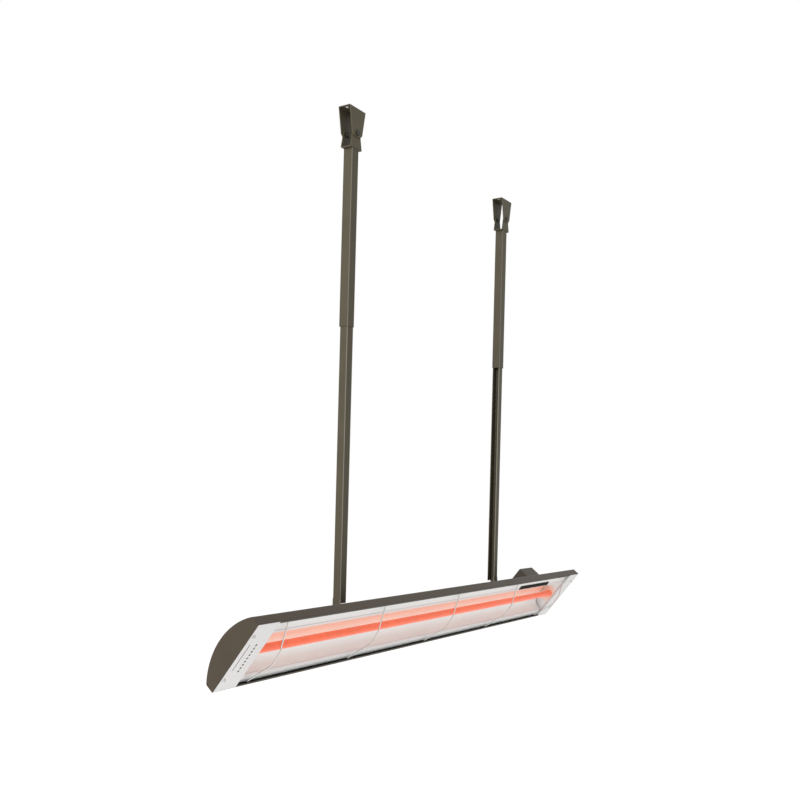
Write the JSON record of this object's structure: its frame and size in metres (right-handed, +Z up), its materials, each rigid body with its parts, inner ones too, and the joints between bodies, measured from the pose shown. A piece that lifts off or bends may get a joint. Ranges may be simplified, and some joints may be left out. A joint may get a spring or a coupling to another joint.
{
  "type": "suspended infrared quartz heater",
  "caption": "Long tilting infrared heater with a quartz element in a polished trough, hung from the ceiling on telescoping poles with swivelling brackets.",
  "frame": {"origin": "midway between the two ceiling plates, on the ceiling plane", "axes": "+X along the heater towards its junction box, +Y towards the back, +Z up; the lit face looks towards -Y and 38.5 degrees below the horizontal"},
  "size_m": [1.556, 0.1666, 1.2719],
  "materials": {
    "bronze_paint": "satin bronze powder coat",
    "polished_steel": "polished",
    "guard_steel": "bright drawn wire",
    "zinc_fastener": "zinc plated",
    "dark_fastener": "black oxide",
    "quartz_glass": "clear fused quartz",
    "glowing_coil": "glowing resistance wire",
    "white_ceramic": "unglazed ceramic",
    "lead_sleeve": "woven glass sleeve",
    "black_plate": "matt black"
  },
  "bodies": {
    "hanger_rails": {"left_channel": "bronze_paint", "left_tilt_bolt": "zinc_fastener", "left_tilt_nut": "zinc_fastener", "right_channel": "bronze_paint", "right_tilt_bolt": "zinc_fastener", "right_tilt_nut": "zinc_fastener"},
    "left_upper_tube": {"left_clevis": "bronze_paint", "left_tube": "bronze_paint", "left_lock_screw": "dark_fastener"},
    "left_ceiling_mount": {"left_ceiling_bracket": "bronze_paint", "left_swivel_bolt_front": "dark_fastener", "left_swivel_bolt_back": "dark_fastener", "left_swivel_nut_front": "dark_fastener", "left_swivel_nut_back": "dark_fastener"},
    "right_upper_tube": {"right_clevis": "bronze_paint", "right_tube": "bronze_paint", "right_lock_screw": "dark_fastener"},
    "right_ceiling_mount": {"right_ceiling_bracket": "bronze_paint", "right_swivel_bolt_front": "dark_fastener", "right_swivel_bolt_back": "dark_fastener", "right_swivel_nut_front": "dark_fastener", "right_swivel_nut_back": "dark_fastener"},
    "heater_head": {"left_tilt_bracket": "bronze_paint", "left_tilt_screw_lower": "zinc_fastener", "left_end_plate_screw_lower": "zinc_fastener", "left_tilt_screw_upper": "zinc_fastener", "left_end_plate_screw_upper": "zinc_fastener", "left_end_cap": "bronze_paint", "left_end_plate": "polished_steel", "left_ceramic_end": "white_ceramic", "left_lead_wire": "lead_sleeve", "right_tilt_bracket": "bronze_paint", "right_tilt_screw_lower": "zinc_fastener", "right_end_plate_screw_lower": "zinc_fastener", "right_tilt_screw_upper": "zinc_fastener", "right_end_plate_screw_upper": "zinc_fastener", "right_end_cap": "bronze_paint", "right_end_plate": "polished_steel", "right_ceramic_end": "white_ceramic", "right_lead_wire": "lead_sleeve", "housing_shell": "bronze_paint", "reflector": "polished_steel", "quartz_tube": "quartz_glass", "heating_coil": "glowing_coil", "blank_plate": "black_plate", "junction_box": "bronze_paint", "junction_box_cover": "bronze_paint", "knockout_plug": "zinc_fastener", "terminal_block": "white_ceramic", "cover_screw_1": "zinc_fastener", "cover_screw_2": "zinc_fastener", "guard_wire_1": "guard_steel", "guard_wire_2": "guard_steel", "guard_wire_3": "guard_steel", "guard_wire_4": "guard_steel", "guard_wire_5": "guard_steel"}
  },
  "joints": [
    {"name": "head_tilt", "type": "hinge", "parent": "hanger_rails", "child": "heater_head", "pos_m": [0, 0, -1.158], "axis": [1, 0, 0], "range_deg": [-25, 51.5]},
    {"name": "left_drop", "type": "slide", "parent": "hanger_rails", "child": "left_upper_tube", "axis": [0, 0, 1], "range_m": [-0.32, 0.03]},
    {"name": "left_swivel", "type": "hinge", "parent": "left_upper_tube", "child": "left_ceiling_mount", "pos_m": [-0.38, 0, -0.057], "axis": [0, 1, 0], "range_deg": [-45, 45]},
    {"name": "right_drop", "type": "slide", "parent": "hanger_rails", "child": "right_upper_tube", "axis": [0, 0, 1], "range_m": [-0.32, 0.03]},
    {"name": "right_swivel", "type": "hinge", "parent": "right_upper_tube", "child": "right_ceiling_mount", "pos_m": [0.38, 0, -0.057], "axis": [0, 1, 0], "range_deg": [-45, 45]}
  ]
}
